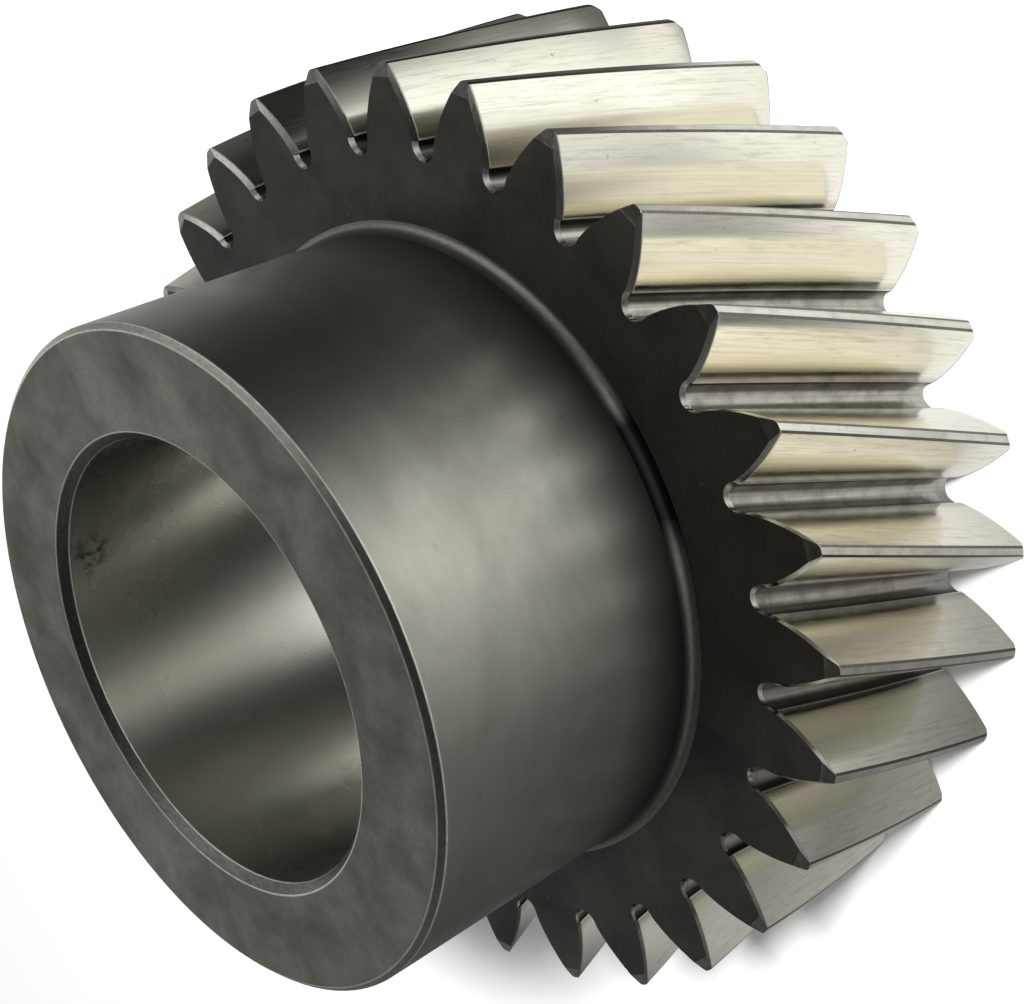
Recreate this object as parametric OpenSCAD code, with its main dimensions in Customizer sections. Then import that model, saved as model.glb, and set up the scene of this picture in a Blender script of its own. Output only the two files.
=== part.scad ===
// Helical transmission gear with a long hub, machined from one forging.
// It stands on its toothed back face, with the hub upwards along +Z.
// The origin is on the bore's axis, in the plane of the back face.

/* [Teeth] */
// Number of teeth
teeth = 28; // [26:1:36]
// Module, measured square to the teeth
normal_module = 4.5; // [4.3:0.05:5]
// Pressure angle, measured square to the teeth
pressure_angle = 22; // [20:0.5:25]
// Helix angle at the pitch circle, right hand
helix_angle = 19.5; // [5:0.5:25]
// Tooth thickness at the pitch circle, measured square to the teeth
tooth_thickness = 7.6; // [7:0.05:8.2]
// Height of the tooth tips above the pitch circle
addendum = 6.15; // [4.6:0.05:6.6]
// Depth of the roots below the pitch circle
dedendum = 6.6; // [6.2:0.1:7.4]
// Height above the root at which the ground flank starts
flank_foot = 2.35; // [1.8:0.05:3]
// Depth of the step between the ground flank and the hobbed root
undercut = 0.2; // [0.05:0.05:0.4]
// Width of the bevel on each long edge of a tip land
tip_bevel_w = 0.25; // [0.1:0.05:0.4]
// Depth of that bevel, measured towards the axis
tip_bevel_h = 0.2; // [0.1:0.05:0.6]

/* [Toothed ends] */
// Width of the toothed rim, measured along the axis
face_width = 42.9; // [20:0.1:60]
// Radial reach of the chamfer on the tooth tips, on the hub side
front_tip_radial = 2; // [0.5:0.1:3]
// Axial reach of that chamfer
front_tip_axial = 0.6; // [0.3:0.1:2]
// Chamfer on the tooth tips at the back face
back_tip_chamfer = 1.1; // [0.4:0.1:3]
// Bevel on the hub side edge of the flank that leans out under the face
wide_edge_bevel = 0.8; // [0.3:0.1:0.9]
// Bevel on the hub side edge of the other flank
narrow_edge_bevel = 0.3; // [0.1:0.05:0.35]
// Depth of both edge bevels, measured along the axis
edge_bevel_depth = 0.7; // [0.3:0.05:1]
// Bevel on all the tooth edges at the back face
back_edge_bevel = 0.3; // [0.1:0.05:0.45]

/* [Hub] */
// Outside diameter of the hub
hub_d = 98; // [82:1:106]
// Length of the hub beyond the toothed face
hub_length = 46.4; // [10:0.1:80]
// Radius of the fillet between the hub and the toothed face
hub_fillet = 1.5; // [0.5:0.1:4]
// Radial reach of the chamfer on the hub's end
hub_chamfer_radial = 0.9; // [0.3:0.1:4]
// Axial reach of that chamfer
hub_chamfer_axial = 0.8; // [0.3:0.1:4]

/* [Bore] */
// Diameter of the bore
bore_d = 65.5; // [40:0.5:85]
// Radial reach of the chamfer at both ends of the bore
bore_chamfer_radial = 1.3; // [0.3:0.1:4]
// Axial reach of those chamfers
bore_chamfer_axial = 1.4; // [0.3:0.1:4]

/* [Hidden] */
$fn = 96;

deg = 180 / PI;
hub_r = hub_d / 2;
bore_r = bore_d / 2;
total_length = face_width + hub_length;

// Gear geometry in the plane square to the axis
pitch_r = normal_module * teeth / (2 * cos(helix_angle));
transverse_angle = atan(tan(pressure_angle) / cos(helix_angle));
base_r = pitch_r * cos(transverse_angle);
tip_r = pitch_r + addendum;
root_r = pitch_r - dedendum;
foot_r = root_r + flank_foot;
tooth_pitch = 360 / teeth;
pitch_half_tooth = tooth_thickness / cos(helix_angle) / (2 * pitch_r) * deg;
// Degrees that the teeth turn for each millimetre along the axis
twist_rate = tan(helix_angle) / pitch_r * deg;

// How finely the curves are followed
flank_steps = 4;
root_steps = 8;
rim_slices = 4;
fillet_steps = 6;
// How far the cutters reach past the blank: at its ends, along the tip bevels, and outwards
overcut = 0.1;
bevel_overcut = 0.15;
tip_clearance = 1;

function involute(angle) = tan(angle) * deg - angle;

function on_circle(r, angle) = [r * cos(angle), r * sin(angle)];

function turned(p, angle) = [
    p.x * cos(angle) - p.y * sin(angle),
    p.x * sin(angle) + p.y * cos(angle)
];

// Half the angle of a tooth at radius r; the flank is radial below the base circle
function half_tooth(r) =
    pitch_half_tooth + involute(transverse_angle) - involute(acos(min(1, base_r / r)));

// Half the angle of a tooth space at radius r
function half_space(r) = tooth_pitch / 2 - half_tooth(r);

// The bevel beside the tip land is straight and runs on a little past the tip circle
bevel_r = tip_r - tip_bevel_h;
land_angle = half_space(tip_r) + tip_bevel_w / tip_r * deg;
bevel_slope = (land_angle - half_space(bevel_r)) / tip_bevel_h;
bevel_end_angle = land_angle + bevel_slope * bevel_overcut;

// One wall of a tooth space, from above the tip land down to the flank's foot
foot = on_circle(foot_r, half_space(foot_r));
wall = [
    on_circle(tip_r + tip_clearance, bevel_end_angle),
    on_circle(tip_r + bevel_overcut, bevel_end_angle),
    for (i = [0:flank_steps])
        let (r = bevel_r + (foot_r - bevel_r) * i / flank_steps)
            on_circle(r, half_space(r))
];

// The root is half an ellipse, close to a half circle, set back by the undercut
root_half_w = foot.y + undercut;
root_depth = foot.x - undercut - root_r;
root_angles = [for (i = [0:root_steps]) 90 - 180 * i / root_steps];

// Outline of a tooth space whose edges are set back by a bevel on either wall
function root_bevel(wide, narrow, a) = narrow + (wide - narrow) * (1 + sin(a)) / 2;
function space_outline(wide, narrow) = [
    for (p = wall)
        p + [0, wide],
    for (a = root_angles)
        [root_r + root_depth * (1 - cos(a)), root_half_w * sin(a)]
            + root_bevel(wide, narrow, a) * [-cos(a), sin(a)],
    for (i = [len(wall) - 1:-1:0])
        [wall[i].x, -wall[i].y - narrow]
];

// Slices through a tooth space: height, bevel on one wall, bevel on the other
back_reach = back_edge_bevel + overcut;
front_reach = 1 + overcut / edge_bevel_depth;
plain_length = face_width - back_edge_bevel - edge_bevel_depth;
slices = [
    [-overcut, back_reach, back_reach],
    for (i = [0:rim_slices])
        [back_edge_bevel + plain_length * i / rim_slices, 0, 0],
    [face_width + overcut, wide_edge_bevel * front_reach, narrow_edge_bevel * front_reach]
];
ring = len(space_outline(0, 0));
middle = (ring - 1) / 2;
last_slice = len(slices) - 1;

space_points = [
    for (s = slices)
        for (p = space_outline(s[1], s[2]))
            let (q = turned(p, s[0] * twist_rate))
                [q.x, q.y, s[0]]
];

// An end of a tooth space is closed by strips from wall to wall
function end_faces(start) = [
    for (i = [0:middle - 2])
        [start + i, start + i + 1, start + ring - 2 - i, start + ring - 1 - i],
    [start + middle - 1, start + middle, start + middle + 1]
];
function reversed(face) = [for (i = [len(face) - 1:-1:0]) face[i]];

space_faces = [
    for (f = end_faces(0))
        f,
    for (f = end_faces(last_slice * ring))
        reversed(f),
    for (s = [0:last_slice - 1])
        for (i = [0:ring - 1])
            let (a = s * ring + i, b = s * ring + (i + 1) % ring)
                each [[a, a + ring, b + ring], [a, b + ring, b]]
];

// Half section of the turned blank, before the teeth are cut
module blank_section() {
    polygon([
        [bore_r + bore_chamfer_radial, 0],
        [tip_r - back_tip_chamfer, 0],
        [tip_r, back_tip_chamfer],
        [tip_r, face_width - front_tip_axial],
        [tip_r - front_tip_radial, face_width],
        for (i = [0:fillet_steps])
            let (a = 90 * i / fillet_steps)
                [hub_r + hub_fillet * (1 - sin(a)), face_width + hub_fillet * (1 - cos(a))],
        [hub_r, total_length - hub_chamfer_axial],
        [hub_r - hub_chamfer_radial, total_length],
        [bore_r + bore_chamfer_radial, total_length],
        [bore_r, total_length - bore_chamfer_axial],
        [bore_r, bore_chamfer_axial]
    ]);
}

module blank() {
    rotate_extrude() blank_section();
}

module tooth_space() {
    polyhedron(points = space_points, faces = space_faces, convexity = 4);
}

// One solid: the teeth, the web under them and the hub are the same piece of steel
module gear() {
    color("dimgray")
        difference() {
            blank();
            for (i = [0:teeth - 1])
                rotate((i + 0.5) * tooth_pitch) tooth_space();
        }
}

gear();
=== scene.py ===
import math

import bmesh
import bpy
import numpy as np
from mathutils import Matrix, Vector


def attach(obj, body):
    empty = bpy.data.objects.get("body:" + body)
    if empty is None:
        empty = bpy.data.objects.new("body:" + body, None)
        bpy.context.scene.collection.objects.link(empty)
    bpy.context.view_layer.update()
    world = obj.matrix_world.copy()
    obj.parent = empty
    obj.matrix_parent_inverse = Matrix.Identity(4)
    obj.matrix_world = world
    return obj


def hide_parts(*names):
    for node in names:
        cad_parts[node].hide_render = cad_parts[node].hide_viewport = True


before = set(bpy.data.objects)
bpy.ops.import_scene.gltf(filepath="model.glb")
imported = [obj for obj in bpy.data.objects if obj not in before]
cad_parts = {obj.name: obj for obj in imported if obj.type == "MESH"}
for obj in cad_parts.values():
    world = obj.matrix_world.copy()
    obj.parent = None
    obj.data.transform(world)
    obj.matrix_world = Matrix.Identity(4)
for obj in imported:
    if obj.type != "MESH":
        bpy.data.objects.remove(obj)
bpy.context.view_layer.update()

# Sizes in millimetres, the same as in the part's source
MM = 0.001
TEETH = 28
MODULE = 4.5
HELIX = math.radians(19.5)
ADDENDUM = 6.15
DEDENDUM = 6.6
FLANK_FOOT = 2.35
UNDERCUT = 0.2
TIP_BEVEL_W = 0.25
TIP_BEVEL_H = 0.2
FACE_W = 42.9
FRONT_TIP_RADIAL = 2.0
FRONT_TIP_AXIAL = 0.6
BACK_TIP = 1.1
EDGE_BEVEL_DEPTH = 0.7
BACK_EDGE_BEVEL = 0.3
HUB_R = 49.0
HUB_LENGTH = 46.4
FILLET = 1.5
HUB_CHAMFER_R = 0.9
HUB_CHAMFER_Z = 0.8
BORE_R = 32.75
BORE_CHAMFER_R = 1.3
BORE_CHAMFER_Z = 1.4

# Sizes that follow the photograph more closely than the source, which has 22, 7.6, 0.8, 0.3, 1.5
PRESSURE = math.radians(23)
THICKNESS = 7.45
WIDE_BEVEL = 0.45
NARROW_BEVEL = 0.2
FILLET_Z = 2.1
# How much of the step under the flank is gone at the hub side face, where the source keeps it whole
STEP_FADE = 0.8

TOTAL = FACE_W + HUB_LENGTH
PITCH_R = MODULE * TEETH / (2 * math.cos(HELIX))
TRANSVERSE = math.atan(math.tan(PRESSURE) / math.cos(HELIX))
BASE_R = PITCH_R * math.cos(TRANSVERSE)
TIP_R = PITCH_R + ADDENDUM
ROOT_R = PITCH_R - DEDENDUM
FOOT_R = ROOT_R + FLANK_FOOT
TURN = 2 * math.pi
PITCH = TURN / TEETH
TWIST = math.tan(HELIX) / PITCH_R

# How finely the mesh follows the curves; the shares run from the tip bevel down to the flank's foot
FLANK_SHARES = [1 - k / 16 for k in range(16)] + [0.028, 0.0]
FLANK_N = len(FLANK_SHARES) - 1
LAND_N = 4
ROOT_N = 16
RIM_N = 20
FILLET_N = 10
ROUND_N = 4
WALL_SAMPLES = 80
# How far a wall is followed past the tip circle
PAST_TIP = 0.3
# Rounds on the turned edges, the rows beside them, and the line beside the end bevels; rounds and
# line are painted bright as burnished wear with a painted highlight
EDGE_ROUND = 0.14
EDGE_SUPPORT = 0.35
EDGE_LINE = 0.14
# A turned face longer than this gets such a row at either end
LONG_FACE = 4
# Width of the back face's inmost strip, and the ring under the roots where the teeth's grids end
BACK_STRIP = 8
INNER_R = 58.9
# Rings from there in to the turned part: share of the turn to its points, and of the way out
END_RINGS = ((0.0, 1.0), (0.4, 0.76), (0.8, 0.38))
UV_PER_MM = 0.01
# In metres: points this close are joined, and edges this short are dissolved
JOINED = 2e-6
SLIVER = 1e-6
# Edges that turn by more than this look sharp
SHARP = math.radians(24)


def involute(a):
    return np.tan(a) - a


# Half the angle of a tooth space at radius r
def half_space(r):
    a = np.arccos(np.minimum(1.0, BASE_R / r))
    half_tooth = THICKNESS / math.cos(HELIX) / (2 * PITCH_R) + involute(TRANSVERSE) - involute(a)
    return PITCH / 2 - half_tooth


BEVEL_R = TIP_R - TIP_BEVEL_H
BEVEL_ANGLE = half_space(BEVEL_R)
LAND_ANGLE = half_space(TIP_R) + TIP_BEVEL_W / TIP_R
PAST_ANGLE = LAND_ANGLE + (LAND_ANGLE - BEVEL_ANGLE) / TIP_BEVEL_H * PAST_TIP
FOOT_X = FOOT_R * math.cos(half_space(FOOT_R))
FOOT_Y = FOOT_R * math.sin(half_space(FOOT_R))


# Radius of the blank at height z, with the chamfers on the tooth tips
def blank_radius(z):
    front = TIP_R - FRONT_TIP_RADIAL * max(0.0, z - (FACE_W - FRONT_TIP_AXIAL)) / FRONT_TIP_AXIAL
    back = TIP_R - max(0.0, BACK_TIP - z)
    return min(front, back)


# How far the two walls of a tooth space are set back at height z, and the step under the flanks
def setbacks(z):
    back = max(0.0, BACK_EDGE_BEVEL - z)
    front = max(0.0, z - (FACE_W - EDGE_BEVEL_DEPTH)) / EDGE_BEVEL_DEPTH
    step = UNDERCUT * (1 - STEP_FADE * front)
    return back + WIDE_BEVEL * front, back + NARROW_BEVEL * front, step


# One wall of a tooth space at height z: polar points from the tip land to the foot of the flank
def wall_points(z, shift):
    r = np.linspace(FOOT_R, BEVEL_R, WALL_SAMPLES)
    a = np.concatenate([half_space(r), [LAND_ANGLE, PAST_ANGLE]])
    r = np.concatenate([r, [TIP_R, TIP_R + PAST_TIP]])
    x = r * np.cos(a)
    y = r * np.sin(a) + shift
    rho = np.hypot(x, y)
    phi = np.arctan2(y, x)
    top = blank_radius(z)
    bevel = min(rho[WALL_SAMPLES - 1], top)
    radii = [top] + [rho[0] + (bevel - rho[0]) * share for share in FLANK_SHARES]
    return [(q, float(np.interp(q, rho, phi))) for q in radii]


# Polar outline of one tooth pitch around its tooth space, from tooth centre to tooth centre
def pitch_outline(z):
    wide, narrow, step = setbacks(z)
    top = blank_radius(z)
    up = wall_points(z, wide)
    down = wall_points(z, narrow)
    half_w = FOOT_Y + step
    depth = FOOT_X - step - ROOT_R
    root = []
    for k in range(ROOT_N + 1):
        a = math.pi / 2 - math.pi * k / ROOT_N
        b = narrow + (wide - narrow) * (1 + math.sin(a)) / 2
        x = ROOT_R + depth * (1 - math.cos(a)) - b * math.cos(a)
        y = half_w * math.sin(a) + b * math.sin(a)
        root.append((math.hypot(x, y), math.atan2(y, x)))
    before = [(top, PITCH / 2 + (up[0][1] - PITCH / 2) * k / LAND_N) for k in range(LAND_N)]
    after = [(top, -down[0][1] - (PITCH / 2 - down[0][1]) * k / LAND_N) for k in range(1, LAND_N)]
    return before + up + root + [(r, -a) for r, a in reversed(down)] + after


# The surfaces that have a material of their own
(
    LAND, BEVEL, FLANK, ROOT, EDGE, FACE, FILLET_M, HUB, CHAMFER, HUB_END, BORE, BACK, TIP_CHAMFER,
    BURNISHED_SHEEN, FOOT_LINE, BACK_EDGE, BORE_CHAMFER,
) = range(17)
# The surface of each step along the outline, and the numbers of the points where its parts begin
WALL_REGION = [BEVEL] + [FLANK] * (FLANK_N - 1) + [FOOT_LINE]
STEP_REGION = (
    [LAND] * LAND_N + WALL_REGION + [ROOT] * (ROOT_N + 2) + WALL_REGION[::-1] + [LAND] * LAND_N
)
PER_PITCH = len(STEP_REGION)
FIRST_WALL = LAND_N + 1
FIRST_FOOT = FIRST_WALL + FLANK_N
OTHER_FOOT = FIRST_FOOT + ROOT_N + 2
# Strips across a tooth, and points for each pitch on the ring under the roots
RUNG_N = 2 * LAND_N
INNER_N = RUNG_N + ROOT_N

verts = []
quads = []
quad_region = []
quad_uv = []


def add_points(x, y, z):
    start = len(verts)
    verts.extend(zip(np.ravel(x).tolist(), np.ravel(y).tolist(), np.ravel(z).tolist()))
    return np.arange(start, start + np.size(x)).reshape(np.shape(x))


def positions(index):
    return np.array([verts[k] for k in np.ravel(index)]).reshape(*np.shape(index), 3)


def closed(row):
    return np.append(row, row[0])


# Quads over a grid of vertex numbers, with a UV pair for each grid point
def add_grid(index, region, u, v, flip=False):
    corner = [(0, 0), (1, 0), (1, 1), (0, 1)] if flip else [(0, 0), (0, 1), (1, 1), (1, 0)]
    m, n = index.shape
    uv = np.stack([u, v], axis=-1)
    around = [(slice(i, m - 1 + i), slice(j, n - 1 + j)) for i, j in corner]
    quads.append(np.stack([index[part] for part in around], axis=-1).reshape(-1, 4))
    quad_uv.append(np.stack([uv[part] for part in around], axis=2).reshape(-1, 4, 2))
    quad_region.append(np.broadcast_to(region, (m - 1, n - 1)).reshape(-1))


# The heights at which the toothed rim has a ring of points
def slice_heights():
    back = [0.0, BACK_EDGE_BEVEL / 2, BACK_EDGE_BEVEL, 0.7, BACK_TIP - TIP_BEVEL_H, BACK_TIP]
    end = FACE_W - EDGE_BEVEL_DEPTH
    plain = [BACK_TIP + (end - BACK_TIP) * k / RIM_N for k in range(1, RIM_N)]
    front = [FACE_W - FRONT_TIP_AXIAL * t for t in (1.0, 0.9, 0.6, 0.3, 0.0)]
    return back + plain + [end - EDGE_LINE, end] + front


# The surface of each step of the rim between two heights
def rim_region(low, high):
    middle = (low + high) / 2
    bevel_z = FACE_W - EDGE_BEVEL_DEPTH
    steps = np.tile(np.array(STEP_REGION), TEETH)
    row = steps.copy()
    if middle < BACK_EDGE_BEVEL:
        row[:] = BACK_EDGE
    elif middle > bevel_z:
        row[:] = EDGE
        row[steps == LAND] = LAND
    elif middle > bevel_z - EDGE_LINE:
        # Burnished wear with a painted highlight on the flank's strip beside the end bevel
        row[steps == FLANK] = BURNISHED_SHEEN
    if middle > FACE_W - FRONT_TIP_AXIAL or middle < BACK_TIP:
        row[steps == LAND] = TIP_CHAMFER
    return row


# The toothed rim: a ring of points at each height, running clockwise as seen from the hub
def toothed_rim(heights):
    rings = []
    along = []
    turn = np.array([(TEETH - i - 0.5) * PITCH for i in range(TEETH)])
    for z in heights:
        r, a = np.array(pitch_outline(z)).T
        ang = (turn[:, None] + a[None, :]).ravel() + TWIST * z
        rad = np.tile(r, TEETH)
        ring = add_points(rad * np.cos(ang), rad * np.sin(ang), np.full_like(rad, z))
        steps = np.diff(positions(closed(ring)), axis=0)
        rings.append(ring)
        along.append(np.append(0.0, np.cumsum(np.hypot(steps[:, 0], steps[:, 1]))))
    index = np.array([closed(ring) for ring in rings])
    region = np.array([rim_region(low, high) for low, high in zip(heights, heights[1:])])
    z_uv = np.repeat(np.array(heights)[:, None], index.shape[1], axis=1)
    add_grid(index, region, z_uv, np.array(along), flip=True)
    return rings


# A toothed end face: a grid across each tooth, down to the roots' ends, then rings in to a circle
def end_face(ring, z, circle_r, circle, circle_ang, region, flip):
    ring = ring.reshape(TEETH, PER_PITCH)
    inner = []
    for i in range(TEETH):
        before = ring[(i - 1) % TEETH]
        rows = [np.concatenate([before[-LAND_N:], ring[i, :LAND_N + 1]])]
        for k in range(1, FLANK_N + 2):
            ends = [before[OTHER_FOOT + FLANK_N - k], ring[i, FIRST_WALL + k]]
            left, right = positions(ends)
            t = np.arange(1, RUNG_N)[:, None] / RUNG_N
            rung = add_points(*(left + (right - left) * t).T)
            rows.append(np.concatenate([ends[:1], rung, ends[1:]]))
        grid = np.array(rows)
        x, y, _ = np.moveaxis(positions(grid), -1, 0)
        add_grid(grid, region, x, y, flip)
        inner.append(np.concatenate([grid[-1][:-1], ring[i, FIRST_FOOT + 1:OTHER_FOOT - 1]]))
    rows = [np.concatenate(inner)]
    x, y, _ = positions(rows[0]).T
    own_ang = np.unwrap(np.arctan2(y, x))
    target = circle_ang + TURN * np.round((own_ang[0] - circle_ang[0]) / TURN)
    for t, share in END_RINGS:
        a = own_ang + (target - own_ang) * t
        r = circle_r + (INNER_R - circle_r) * share
        rows.append(add_points(r * np.cos(a), r * np.sin(a), np.full_like(a, z)))
    grid = np.array([closed(row) for row in rows + [circle]])
    x, y, _ = np.moveaxis(positions(grid), -1, 0)
    add_grid(grid, region, x, y, flip)


# Corners of a half section with small rounds on them; the first and last corner are left out
def rounded(corners):
    out = []
    for before, corner, after in zip(corners, corners[1:], corners[2:]):
        p = np.array(corner[0])
        a = np.array(before[0]) - p
        b = np.array(after[0]) - p
        long_a, long_b = np.linalg.norm(a), np.linalg.norm(b)
        a, b = a / long_a, b / long_b
        if long_a > LONG_FACE:
            out.append((*(p + a * (EDGE_ROUND + EDGE_SUPPORT)), before[1]))
        for k in range(ROUND_N + 1):
            t = k / ROUND_N
            q = p + a * EDGE_ROUND * (1 - t) ** 2 + b * EDGE_ROUND * t ** 2
            # The round is painted bright: burnished wear with a painted highlight
            out.append((*q, BURNISHED_SHEEN if k < ROUND_N else corner[1]))
        if long_b > LONG_FACE:
            out.append((*(p + b * (EDGE_ROUND + EDGE_SUPPORT)), corner[1]))
    return out


# Half section of the turned part, from the fillet over the hub and down the bore to the back face:
# radius, height, and the surface that starts there
def turned_profile():
    top = FACE_W + FILLET_Z
    fillet = []
    for k in range(FILLET_N):
        a = math.pi / 2 * k / FILLET_N
        r = HUB_R + FILLET * (1 - math.sin(a))
        fillet.append((r, FACE_W + FILLET_Z * (1 - math.cos(a)), FILLET_M))
    corners = [
        ((HUB_R, top), HUB),
        ((HUB_R, TOTAL - HUB_CHAMFER_Z), CHAMFER),
        ((HUB_R - HUB_CHAMFER_R, TOTAL), HUB_END),
        ((BORE_R + BORE_CHAMFER_R, TOTAL), BORE_CHAMFER),
        ((BORE_R, TOTAL - BORE_CHAMFER_Z), BORE),
        ((BORE_R, BORE_CHAMFER_Z), BORE_CHAMFER),
        ((BORE_R + BORE_CHAMFER_R, 0.0), BACK),
        ((BORE_R + BORE_CHAMFER_R + BACK_STRIP, 0.0), BACK),
    ]
    return fillet + [(HUB_R, top, HUB), (HUB_R, top + EDGE_SUPPORT, HUB)] + rounded(corners)


# The turned part: a row of points around the axis for each point of the half section
def turned_part(profile, angles):
    rows = []
    for r, z, _ in profile:
        rows.append(add_points(r * np.cos(angles), r * np.sin(angles), np.full_like(angles, z)))
    r, z, region = np.array(profile).T
    arc = np.append(0.0, np.cumsum(np.hypot(np.diff(r), np.diff(z))))
    around = np.append(angles, angles[0] - TURN)
    grid = np.array([closed(row) for row in rows])
    u = np.repeat(HUB_R * around[None, :], len(profile), axis=0)
    v = np.repeat(arc[:, None], len(around), axis=1)
    add_grid(grid, region[:-1, None].astype(int), u, v)
    return rows


# How far the circle's points are rolled so that they start beside the end face's inner ring
def nearest_roll(ring, angles):
    x, y, _ = verts[ring.reshape(TEETH, PER_PITCH)[-1, OTHER_FOOT - 1]]
    away = (angles - math.atan2(y, x) + math.pi) % TURN - math.pi
    return -int(np.argmin(np.abs(away)))


rings = toothed_rim(slice_heights())
profile = turned_profile()
# The turned part has as many points around as the rings under the roots
count = INNER_N * TEETH
angles = TWIST * FACE_W - np.arange(count) * TURN / count - PITCH / 2
turned_rows = turned_part(profile, angles)
# Both toothed ends: number of the rim's ring, of the turned part's row, height, surface, direction
END_FACES = ((-1, 0, FACE_W, FACE, False), (0, -1, 0.0, BACK, True))
for end, turned_end, z, region, flip in END_FACES:
    roll = nearest_roll(rings[end], angles)
    circle = np.roll(turned_rows[turned_end], roll)
    circle_ang = np.unwrap(np.roll(angles, roll) % TURN)
    end_face(rings[end], z, profile[turned_end][0], circle, circle_ang, region, flip)

mesh = bpy.data.meshes.new("gear_steel")
all_quads = np.concatenate(quads)
mesh.from_pydata((np.array(verts) * MM).tolist(), [], all_quads.tolist())
mesh.polygons.foreach_set("material_index", np.concatenate(quad_region).astype(np.int32))
mesh.polygons.foreach_set("use_smooth", np.ones(len(all_quads), bool))
uv_layer = mesh.uv_layers.new(name="surface")
all_uv = np.concatenate(quad_uv).reshape(-1) * UV_PER_MM
uv_layer.data.foreach_set("uv", all_uv.astype(np.float32))

# Some points of the grids still lie on each other, as where a tip chamfer reaches down to the flank
bm = bmesh.new()
bm.from_mesh(mesh)
bmesh.ops.remove_doubles(bm, verts=bm.verts, dist=JOINED)
bmesh.ops.dissolve_degenerate(bm, edges=bm.edges, dist=SLIVER)
bmesh.ops.recalc_face_normals(bm, faces=bm.faces)
open_edges = sum(1 for e in bm.edges if len(e.link_faces) != 2)
print("quads", len(all_quads), "open edges", open_edges, "mm3", bm.calc_volume() / MM ** 3)
bm.to_mesh(mesh)
bm.free()
mesh.set_sharp_from_angle(angle=SHARP)
gear = bpy.data.objects.new("gear_steel", mesh)
bpy.context.scene.collection.objects.link(gear)


# Short helpers for node materials
def put(tree, socket, value):
    if isinstance(value, bpy.types.NodeSocket):
        tree.links.new(value, socket)
    else:
        socket.default_value = value


def math_node(tree, op, a, b=0.0, c=0.0):
    n = tree.nodes.new("ShaderNodeMath")
    n.operation = op
    for i, x in enumerate((a, b, c)):
        put(tree, n.inputs[i], x)
    return n.outputs[0]


def noise(tree, vector, scale, detail=4.0, rough=0.55, distort=0.0):
    n = tree.nodes.new("ShaderNodeTexNoise")
    tree.links.new(vector, n.inputs["Vector"])
    n.inputs["Scale"].default_value = scale
    n.inputs["Detail"].default_value = detail
    n.inputs["Roughness"].default_value = rough
    n.inputs["Distortion"].default_value = distort
    return n.outputs["Fac"]


def mapped(tree, vector, scale):
    n = tree.nodes.new("ShaderNodeMapping")
    tree.links.new(vector, n.inputs["Vector"])
    n.inputs["Scale"].default_value = scale
    return n.outputs["Vector"]


def ramp(tree, fac, stops):
    n = tree.nodes.new("ShaderNodeValToRGB")
    tree.links.new(fac, n.inputs["Fac"])
    elements = n.color_ramp.elements
    while len(elements) < len(stops):
        elements.new(0.5)
    for e, (pos, col) in zip(elements, stops):
        e.position = pos
        e.color = (*col, 1.0)
    return n.outputs["Color"]


# Runs from c to d while the value runs from a to b, and stays at them beyond
def remap(tree, value, a, b, c, d):
    n = tree.nodes.new("ShaderNodeMapRange")
    n.clamp = True
    tree.links.new(value, n.inputs["Value"])
    for name, x in (("From Min", a), ("From Max", b), ("To Min", c), ("To Max", d)):
        n.inputs[name].default_value = x
    return n.outputs["Result"]


def mix_color(tree, fac, a, b):
    n = tree.nodes.new("ShaderNodeMix")
    n.data_type = "RGBA"
    tree.links.new(fac, n.inputs["Factor"])
    sockets = [s for s in n.inputs if s.type == "RGBA"]
    for s, x in zip(sockets, (a, b)):
        put(tree, s, (*x, 1.0) if isinstance(x, tuple) else x)
    return [s for s in n.outputs if s.type == "RGBA"][0]


def mix_shader(tree, fac, a, b):
    n = tree.nodes.new("ShaderNodeMixShader")
    for i, x in enumerate((fac, a, b)):
        tree.links.new(x, n.inputs[i])
    return n.outputs[0]


def bump(tree, height, strength, distance):
    n = tree.nodes.new("ShaderNodeBump")
    n.inputs["Strength"].default_value = strength
    n.inputs["Distance"].default_value = distance
    tree.links.new(height, n.inputs["Height"])
    return n.outputs["Normal"]


def coordinates(tree, kind="Object"):
    return tree.nodes.new("ShaderNodeTexCoord").outputs[kind]


# Distance from the axis
def radius_of(tree, vector):
    n = tree.nodes.new("ShaderNodeVectorMath")
    n.operation = "LENGTH"
    tree.links.new(mapped(tree, vector, (1.0, 1.0, 0.0)), n.inputs[0])
    return n.outputs["Value"]


def distance_to(tree, vector, point):
    n = tree.nodes.new("ShaderNodeVectorMath")
    n.operation = "DISTANCE"
    tree.links.new(vector, n.inputs[0])
    n.inputs[1].default_value = point
    return n.outputs["Value"]


def parts_of(tree, vector):
    n = tree.nodes.new("ShaderNodeSeparateXYZ")
    tree.links.new(vector, n.inputs[0])
    return n.outputs


def azimuth_of(tree, vector):
    parts = parts_of(tree, vector)
    return math_node(tree, "ARCTAN2", parts["Y"], parts["X"])


# Two values of noise weighed into one height
def blended(tree, a, b, share):
    scaled = math_node(tree, "MULTIPLY", a, share)
    return math_node(tree, "ADD", scaled, math_node(tree, "MULTIPLY", b, 1.0 - share))


def new_material(name):
    mat = bpy.data.materials.new(name)
    mat.use_nodes = True
    mat.node_tree.nodes.clear()
    return mat, mat.node_tree


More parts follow.
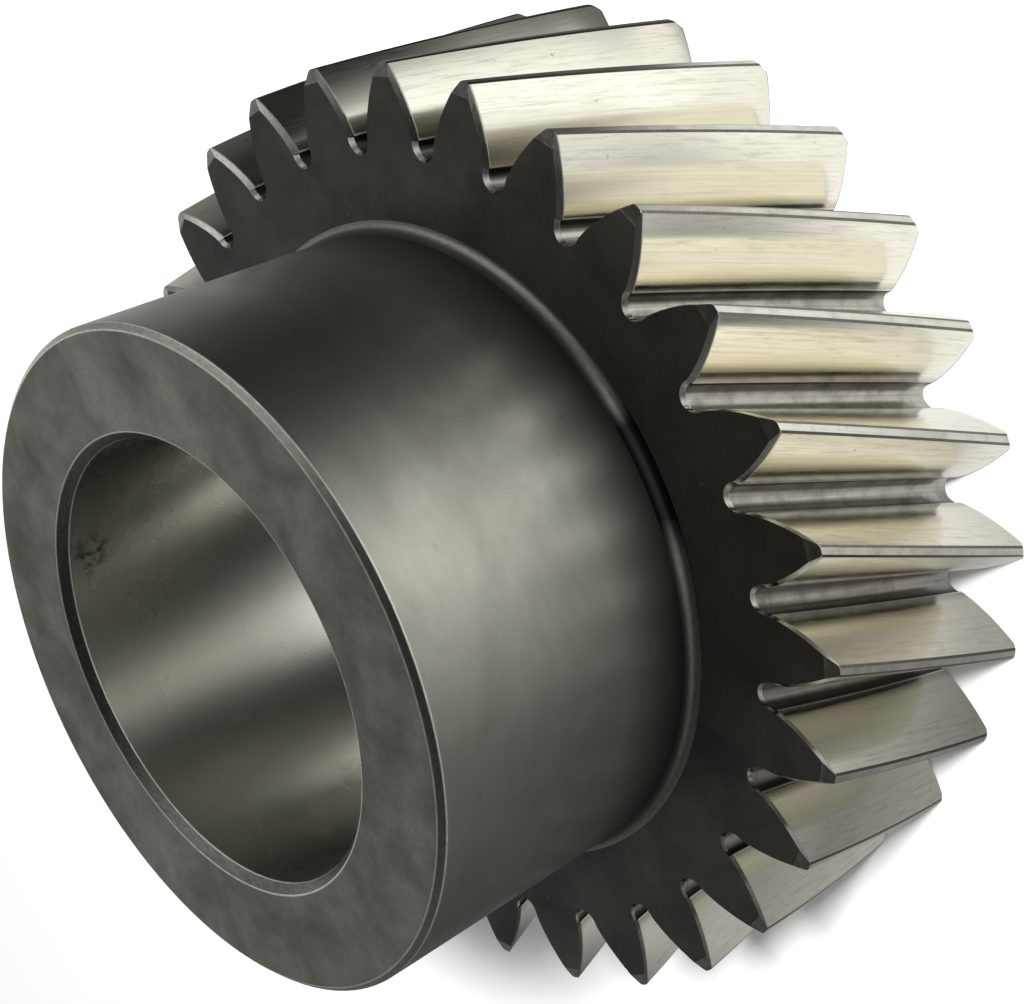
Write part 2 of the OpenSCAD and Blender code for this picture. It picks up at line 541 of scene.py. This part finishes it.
# Joins colour, roughness and bump to the shader; spread is the anisotropy of a turned surface
def finish_steel(tree, color, rough, normal, metallic=1.0, spread=0.0):
    shader = tree.nodes.new("ShaderNodeBsdfPrincipled")
    tree.links.new(color, shader.inputs["Base Color"])
    put(tree, shader.inputs["Roughness"], rough)
    tree.links.new(normal, shader.inputs["Normal"])
    shader.inputs["Metallic"].default_value = metallic
    shader.inputs["Anisotropic"].default_value = spread
    shader.inputs["Anisotropic Rotation"].default_value = 0.25 if spread else 0.0
    out = tree.nodes.new("ShaderNodeOutputMaterial")
    tree.links.new(shader.outputs["BSDF"], out.inputs["Surface"])


# Depth of the fine bumps, in metres
FINE = 0.00003
COARSE = 0.00004
# Radii in metres between which the root's black painted shade, the olive foot and the smudged top
# set in
ROOT_STEP_SHADE = (0.0607, 0.0619)
OLIVE_FOOT = (0.0626, 0.0644)
SMUDGED_TOP = (0.0672, 0.0700)
# Height in metres from which the hub's painted foot shade fades, how far it and the dullness reach
HUB_FOOT_Z = 0.0445
FOOT_SHADE_REACH = 0.012
DULL_REACH = 0.03
# Azimuths in radians between which the fillet is nearly black
BLACK_FILLET_AZIMUTHS = (-1.92, -1.60)
# The stain in the bore, and the distances from it between which it fades out
STAIN = (0.0257, 0.0200, 0.0842)
STAIN_FADE = (0.001, 0.0045)


# Ground flanks: bright, with fine lines along the tooth, grey smudges near the tip, an olive foot
def flank_material():
    mat, tree = new_material("flank_steel")
    obj = coordinates(tree)
    uv = coordinates(tree, "UV")
    r = radius_of(tree, obj)
    long_lines = noise(tree, mapped(tree, uv, (3.0, 260.0, 1.0)), 1.0, 5.0, 0.6)
    short_lines = noise(tree, mapped(tree, uv, (20.0, 520.0, 1.0)), 1.0, 3.0, 0.6)
    smears = noise(tree, mapped(tree, uv, (18.0, 150.0, 1.0)), 1.0, 6.0, 0.7, 0.3)
    blots = noise(tree, obj, 650.0, 4.0, 0.6)
    tones = [
        (0.28, (0.80, 0.765, 0.635)),
        (0.46, (0.91, 0.875, 0.75)),
        (0.66, (0.955, 0.925, 0.81)),
    ]
    scratch = remap(tree, short_lines, 0.64, 0.72, 0.0, 0.45)
    col = mix_color(tree, scratch, ramp(tree, long_lines, tones), (0.48, 0.46, 0.38))
    top = remap(tree, r, *SMUDGED_TOP, 0.12, 1.0)
    smudge = math_node(tree, "MULTIPLY", top, remap(tree, smears, 0.50, 0.72, 0.0, 0.5))
    col = mix_color(tree, smudge, col, (0.42, 0.42, 0.36))
    spots = math_node(tree, "MULTIPLY", remap(tree, blots, 0.68, 0.74, 0.0, 0.6), top)
    col = mix_color(tree, spots, col, (0.22, 0.21, 0.17))
    col = mix_color(tree, remap(tree, r, *OLIVE_FOOT, 0.85, 0.0), col, (0.36, 0.335, 0.25))
    smooth = remap(tree, long_lines, 0.3, 0.7, 0.18, 0.10)
    rough = math_node(tree, "ADD", smooth, remap(tree, smears, 0.4, 0.7, 0.0, 0.10))
    finish_steel(tree, col, rough, bump(tree, long_lines, 0.10, FINE))
    return mat


# Hobbed roots: bright streaks along the bottom, and black painted shade up to the step under the
# ground flanks
def root_material():
    mat, tree = new_material("root_steel")
    obj = coordinates(tree)
    lines = noise(tree, mapped(tree, coordinates(tree, "UV"), (1.5, 160.0, 1.0)), 1.0, 5.0, 0.6)
    blots = noise(tree, obj, 350.0, 5.0, 0.6)
    tone = ramp(tree, lines, [(0.3, (0.34, 0.325, 0.285)), (0.7, (0.66, 0.64, 0.58))])
    col = mix_color(tree, remap(tree, blots, 0.45, 0.75, 0.0, 0.6), tone, (0.14, 0.13, 0.11))
    # Painted shade: black in the recess under the step, where the flank's foot shades the root
    black = remap(tree, radius_of(tree, obj), *ROOT_STEP_SHADE, 0.0, 0.93)
    col = mix_color(tree, black, col, (0.016, 0.015, 0.013))
    rough = remap(tree, blots, 0.3, 0.7, 0.26, 0.38)
    finish_steel(tree, col, rough, bump(tree, lines, 0.25, COARSE))
    return mat


# Tip lands: fine lines along the tooth and darker blots
def land_material():
    mat, tree = new_material("land_steel")
    lines = noise(tree, mapped(tree, coordinates(tree, "UV"), (4.0, 420.0, 1.0)), 1.0, 4.0, 0.6)
    blots = noise(tree, coordinates(tree), 300.0, 4.0, 0.6)
    tone = ramp(tree, lines, [(0.3, (0.62, 0.60, 0.52)), (0.7, (0.80, 0.78, 0.70))])
    col = mix_color(tree, remap(tree, blots, 0.45, 0.7, 0.0, 0.5), tone, (0.36, 0.35, 0.30))
    finish_steel(tree, col, 0.24, bump(tree, lines, 0.2, FINE))
    return mat


# Small machined surfaces. Given two azimuths, one is nearly black between them
def edge_material(name, low, high, rough, black_azimuths=None):
    mat, tree = new_material(name)
    obj = coordinates(tree)
    lines = noise(tree, mapped(tree, obj, (900.0, 900.0, 5000.0)), 1.0, 4.0, 0.6)
    col = ramp(tree, lines, [(0.3, low), (0.7, high)])
    if black_azimuths is not None:
        azimuth = azimuth_of(tree, obj)
        first, last = black_azimuths
        sets_in = remap(tree, azimuth, first - 0.12, first, 0.0, 0.95)
        fades = remap(tree, azimuth, last - 0.05, last + 0.02, 1.0, 0.0)
        darkening = math_node(tree, "MULTIPLY", sets_in, fades)
        col = mix_color(tree, darkening, col, (0.016, 0.015, 0.014))
    finish_steel(tree, col, rough, bump(tree, lines, 0.3, COARSE))
    return mat


# Turned faces: a dark skin with fine concentric lines, faint blotches and small nicks
def turned_material(name, dark, light, rough_low, rough_high, spread, metallic=1.0):
    mat, tree = new_material(name)
    obj = coordinates(tree)
    across = tree.nodes.new("ShaderNodeCombineXYZ")
    wobble = math_node(tree, "MULTIPLY", noise(tree, obj, 30.0, 2.0), 0.0006)
    tree.links.new(radius_of(tree, obj), across.inputs["X"])
    tree.links.new(wobble, across.inputs["Y"])
    lines = noise(tree, across.outputs["Vector"], 3500.0, 3.0, 0.6)
    blots = noise(tree, obj, 90.0, 6.0, 0.62, 0.3)
    fine = noise(tree, obj, 1600.0, 3.0, 0.6)
    nicks = remap(tree, noise(tree, obj, 520.0, 2.0, 0.5), 0.76, 0.80, 0.0, 0.4)
    tone = ramp(tree, blots, [(0.32, dark), (0.70, light)])
    col = mix_color(tree, remap(tree, fine, 0.35, 0.7, 0.0, 0.35), tone, dark)
    col = mix_color(tree, nicks, col, (0.16, 0.15, 0.13))
    rough = remap(tree, blots, 0.3, 0.7, rough_high, rough_low)
    normal = bump(tree, blended(tree, lines, fine, 0.6), 0.25, FINE)
    finish_steel(tree, col, rough, normal, metallic, spread)
    return mat


# The hub's dark spots, and painted shade on its duller foot by the toothed face
def hub_spots_and_foot_shade(tree, obj, blots, col, rough):
    spots = remap(tree, noise(tree, obj, 260.0, 2.0, 0.5), 0.70, 0.80, 0.0, 0.35)
    col = mix_color(tree, spots, col, (0.09, 0.087, 0.075))
    z = parts_of(tree, obj)["Z"]
    # Painted shade: the hub darkens towards the toothed face, which blocks its light
    darkening = remap(tree, z, HUB_FOOT_Z, HUB_FOOT_Z + FOOT_SHADE_REACH, 1.0, 0.0)
    darkening = math_node(tree, "MULTIPLY", darkening, remap(tree, blots, 0.2, 0.6, 0.78, 0.92))
    dull = remap(tree, z, HUB_FOOT_Z, HUB_FOOT_Z + DULL_REACH, 0.13, 0.0)
    return mix_color(tree, darkening, col, (0.02, 0.019, 0.016)), math_node(tree, "ADD", rough, dull)


# The small stain in the bore
def bore_marks(tree, obj, blots, col, rough):
    near = remap(tree, distance_to(tree, obj, STAIN), *STAIN_FADE, 0.85, 0.0)
    grain = remap(tree, noise(tree, obj, 600.0, 3.0, 0.6), 0.46, 0.60, 0.0, 1.0)
    mark = math_node(tree, "MULTIPLY", near, grain)
    return mix_color(tree, mark, col, (0.03, 0.03, 0.027)), rough


# The hub's cylinder and the bore: satin, with faint lines around, soft mottling and their own
# marks, the hub with painted shade at its foot
def cylinder_material(name, dark, light, rough_low, rough_high, line_scale, spread, marks):
    mat, tree = new_material(name)
    obj = coordinates(tree)
    lines = noise(tree, mapped(tree, obj, (14.0, 14.0, line_scale)), 1.0, 5.0, 0.65)
    blots = noise(tree, mapped(tree, obj, (1.0, 1.0, 1.6)), 45.0, 6.0, 0.62, 0.4)
    tone = ramp(tree, blots, [(0.3, dark), (0.7, light)])
    col = mix_color(tree, remap(tree, lines, 0.35, 0.75, 0.0, 0.22), tone, dark)
    rough = remap(tree, blots, 0.3, 0.7, rough_high, rough_low)
    col, rough = marks(tree, obj, blots, col, rough)
    fine = noise(tree, obj, 1500.0, 3.0, 0.6)
    normal = bump(tree, blended(tree, lines, fine, 0.7), 0.18, FINE)
    finish_steel(tree, col, rough, normal, 1.0, spread)
    return mat


materials = {
    LAND: land_material(),
    BEVEL: edge_material("bevel_steel", (0.12, 0.116, 0.10), (0.22, 0.213, 0.185), 0.30),
    FLANK: flank_material(),
    ROOT: root_material(),
    EDGE: edge_material("edge_steel", (0.34, 0.332, 0.295), (0.56, 0.55, 0.50), 0.15),
    FACE: turned_material(
        "face_steel", (0.042, 0.039, 0.033), (0.078, 0.0725, 0.062), 0.36, 0.48, 0.0, 0.90
    ),
    FILLET_M: edge_material(
        "fillet_steel", (0.19, 0.184, 0.158), (0.27, 0.262, 0.226), 0.36, BLACK_FILLET_AZIMUTHS
    ),
    HUB: cylinder_material(
        "hub_steel", (0.34, 0.332, 0.284), (0.52, 0.51, 0.446), 0.31, 0.40, 2600.0, 0.35, hub_spots_and_foot_shade
    ),
    CHAMFER: edge_material("chamfer_steel", (0.24, 0.235, 0.205), (0.38, 0.37, 0.32), 0.30),
    HUB_END: turned_material(
        "hub_end_steel", (0.155, 0.152, 0.129), (0.33, 0.322, 0.277), 0.38, 0.50, 0.45
    ),
    BORE: cylinder_material(
        "bore_steel", (0.56, 0.55, 0.495), (0.72, 0.71, 0.65), 0.24, 0.31, 1800.0, 0.7, bore_marks
    ),
    BACK: turned_material(
        "back_steel", (0.10, 0.097, 0.085), (0.17, 0.165, 0.145), 0.38, 0.48, 0.3
    ),
    TIP_CHAMFER: edge_material(
        "tip_chamfer_steel", (0.16, 0.155, 0.135), (0.30, 0.29, 0.25), 0.26
    ),
    # Burnished wear, and a painted highlight in its brightness
    BURNISHED_SHEEN: edge_material("burnished_sheen_steel", (0.62, 0.61, 0.56), (0.86, 0.85, 0.80), 0.46),
    FOOT_LINE: edge_material("foot_steel", (0.86, 0.85, 0.81), (0.95, 0.94, 0.91), 0.38),
    BACK_EDGE: edge_material("back_edge_steel", (0.035, 0.034, 0.03), (0.07, 0.068, 0.06), 0.30),
    BORE_CHAMFER: edge_material(
        "bore_chamfer_steel", (0.11, 0.107, 0.093), (0.22, 0.214, 0.187), 0.34
    ),
}
for k in range(len(materials)):
    mesh.materials.append(materials[k])

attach(gear, "root")
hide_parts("gear")

# The studio as the steel mirrors it, by azimuth in degrees: the floor by the object, the floor
# further out, the horizon, the walls, the upper walls, and what shows through the bore's far end
NEAR_FLOOR, MID_FLOOR, HORIZON, WALLS, UPPER_WALLS, THROUGH_BORE = range(1, 7)
STUDIO = [
    (-180, 0.42, 0.10, 0.45, 0.08, 0.08, 0.10),
    (-152, 0.20, 0.14, 0.55, 0.10, 0.05, 0.14),
    (-136, 0.40, 0.40, 0.70, 0.30, 0.03, 0.45),
    (-120, 0.80, 0.68, 0.85, 0.80, 0.03, 1.1),
    (-103, 1.0, 1.25, 1.25, 1.10, 0.04, 2.6),
    (-84, 1.0, 1.05, 1.0, 0.80, 0.07, 2.6),
    (-76, 1.0, 0.70, 0.34, 0.45, 0.12, 0.4),
    (-60, 0.95, 0.25, 0.03, 0.32, 0.28, 0.03),
    (-50, 0.15, 0.10, 0.02, 0.35, 0.40, 0.05),
    (-25, 0.10, 0.03, 0.02, 1.0, 0.95, 0.05),
    (-4, 0.30, 0.08, 0.12, 1.15, 0.80, 0.05),
    (14, 0.50, 0.28, 0.15, 0.80, 0.50, 0.15),
    (35, 0.8, 0.50, 0.50, 0.50, 0.20, 0.25),
    (58, 0.8, 1.20, 1.10, 0.55, 0.42, 0.70),
    (80, 0.7, 0.80, 0.80, 0.54, 0.36, 0.55),
    (100, 0.5, 0.22, 0.25, 0.30, 0.22, 0.22),
    (140, 0.4, 0.08, 0.14, 0.16, 0.12, 0.08),
    (180, 0.42, 0.10, 0.45, 0.08, 0.08, 0.10),
]
OVERHEAD = (0.08, 0.08, 0.08)
# Radii in metres between which the floor's levels change as the steel mirrors it: the opening under
# the bore, the floor by the object and the far floor
BORE_OPENING = (0.034, 0.036)
BY_OBJECT = (0.094, 0.118)
FAR_OFF = (0.20, 0.28)
# Heights of a direction, as its z, between which the walls' levels change
BELOW_HORIZON = (-0.3, -0.1)
WALLS_Z = (0.06, 0.36)
UPPER_WALLS_Z = (0.52, 0.66)
OVERHEAD_Z = (0.84, 0.92)
# The camera's floor: its colour, and the radii between which its own white takes over from it
FLOOR_SIZE = 6.0
FLOOR_COLOR = (0.95, 0.95, 0.945, 1)
FLOOR_WHITE = (0.22, 0.6)
FLOOR_WHITE_SHARE = 0.08
FILL = 0.22


# One column of the studio's levels, by the azimuth of a vector
def around_level(tree, vector, column):
    turn = math_node(tree, "MULTIPLY_ADD", azimuth_of(tree, vector), 1 / TURN, 0.5)
    stops = [((row[0] + 180) / 360, (row[column],) * 3) for row in STUDIO]
    return ramp(tree, turn, stops)


# The kinds of ray, and whether a ray is one that sees the background and not one that lights
def rays(tree):
    paths = tree.nodes.new("ShaderNodeLightPath").outputs
    seen = math_node(tree, "MAXIMUM", paths["Is Camera Ray"], paths["Is Glossy Ray"])
    return paths, math_node(tree, "MAXIMUM", seen, paths["Is Transmission Ray"])


# The floor: white with the object's soft shadow to the camera, the studio's levels in reflections
def floor_material():
    mat, tree = new_material("floor_white")
    paths, seen = rays(tree)
    obj = coordinates(tree)
    radius = radius_of(tree, obj)
    diffuse = tree.nodes.new("ShaderNodeBsdfDiffuse")
    diffuse.inputs["Color"].default_value = FLOOR_COLOR
    glow = tree.nodes.new("ShaderNodeEmission")
    glow.inputs["Color"].default_value = (1, 1, 1, 1)
    glow.inputs["Strength"].default_value = 1.0
    whiter = remap(tree, radius, *FLOOR_WHITE, FLOOR_WHITE_SHARE, 1.0)
    white = math_node(tree, "MULTIPLY", seen, whiter)
    plain = mix_shader(tree, white, diffuse.outputs[0], glow.outputs[0])
    far = remap(tree, radius, *FAR_OFF, 0.0, 1.0)
    level = around_level(tree, obj, MID_FLOOR)
    level = mix_color(tree, far, level, around_level(tree, obj, HORIZON))
    near = remap(tree, radius, *BY_OBJECT, 1.0, 0.0)
    level = mix_color(tree, near, level, around_level(tree, obj, NEAR_FLOOR))
    mirrored = tree.nodes.new("ShaderNodeEmission")
    tree.links.new(level, mirrored.inputs["Color"])
    mirrored.inputs["Strength"].default_value = 1.0
    clear = tree.nodes.new("ShaderNodeBsdfTransparent")
    opening = remap(tree, radius, *BORE_OPENING, 1.0, 0.0)
    studio = mix_shader(tree, opening, mirrored.outputs[0], clear.outputs[0])
    surface = mix_shader(tree, paths["Is Glossy Ray"], plain, studio)
    out = tree.nodes.new("ShaderNodeOutputMaterial")
    tree.links.new(surface, out.inputs["Surface"])
    return mat


bpy.ops.mesh.primitive_plane_add(size=FLOOR_SIZE, location=(0, 0, 0))
floor = bpy.context.active_object
floor.name = "floor"
floor.data.materials.append(floor_material())


# The world: white to the camera, a plain grey fill, and the studio's levels in reflections
def build_world():
    world = bpy.data.worlds.new("studio")
    bpy.context.scene.world = world
    world.use_nodes = True
    tree = world.node_tree
    tree.nodes.clear()
    paths, seen = rays(tree)
    direction = coordinates(tree, "Generated")
    z = parts_of(tree, direction)["Z"]
    level = around_level(tree, direction, THROUGH_BORE)
    for reach, column in (
        (BELOW_HORIZON, HORIZON), (WALLS_Z, WALLS), (UPPER_WALLS_Z, UPPER_WALLS)
    ):
        share = remap(tree, z, *reach, 0.0, 1.0)
        level = mix_color(tree, share, level, around_level(tree, direction, column))
    level = mix_color(tree, remap(tree, z, *OVERHEAD_Z, 0.0, 1.0), level, OVERHEAD)
    level = mix_color(tree, paths["Is Camera Ray"], level, (1.0, 1.0, 1.0))
    mirrored = tree.nodes.new("ShaderNodeBackground")
    tree.links.new(level, mirrored.inputs["Color"])
    mirrored.inputs["Strength"].default_value = 1.0
    fill = tree.nodes.new("ShaderNodeBackground")
    fill.inputs["Color"].default_value = (1, 1, 1, 1)
    fill.inputs["Strength"].default_value = FILL
    out = tree.nodes.new("ShaderNodeOutputWorld")
    surface = mix_shader(tree, seen, fill.outputs[0], mirrored.outputs[0])
    tree.links.new(surface, out.inputs["Surface"])


build_world()

# One lamp, mostly for the floor's shadow, and where it stands around the object
KEY_AZIMUTH, KEY_ELEVATION, KEY_DISTANCE = math.radians(-79), math.radians(44), 1.5
KEY_TARGET = Vector((0, 0, 0.03))
key_data = bpy.data.lights.new("key", "AREA")
key_data.shape = "RECTANGLE"
key_data.size = key_data.size_y = 0.22
key_data.energy = 42.0
key = bpy.data.objects.new("key", key_data)
key.location = KEY_DISTANCE * Vector((
    math.cos(KEY_ELEVATION) * math.cos(KEY_AZIMUTH),
    math.cos(KEY_ELEVATION) * math.sin(KEY_AZIMUTH),
    math.sin(KEY_ELEVATION),
))
key.rotation_euler = (KEY_TARGET - key.location).to_track_quat("-Z", "Y").to_euler()
key.visible_glossy = False
bpy.context.scene.collection.objects.link(key)

# The camera, fitted to the photograph
camera_data = bpy.data.cameras.new("camera")
camera_data.sensor_fit = "HORIZONTAL"
camera_data.sensor_width = 36.0
camera_data.lens = 70.6268
camera_data.clip_start = 0.01
camera = bpy.data.objects.new("camera", camera_data)
camera.location = (-0.040729, -0.242898, 0.218681)
look = Vector((0.137287, 0.778766, -0.612107))
up = Vector((0.842658, -0.416641, -0.341083))
right = look.cross(up)
turned = Matrix((right, up, -look)).transposed().to_4x4()
camera.matrix_world = Matrix.Translation(camera.location) @ turned
bpy.context.scene.collection.objects.link(camera)
bpy.context.scene.camera = camera
bpy.context.scene.view_settings.view_transform = "Standard"
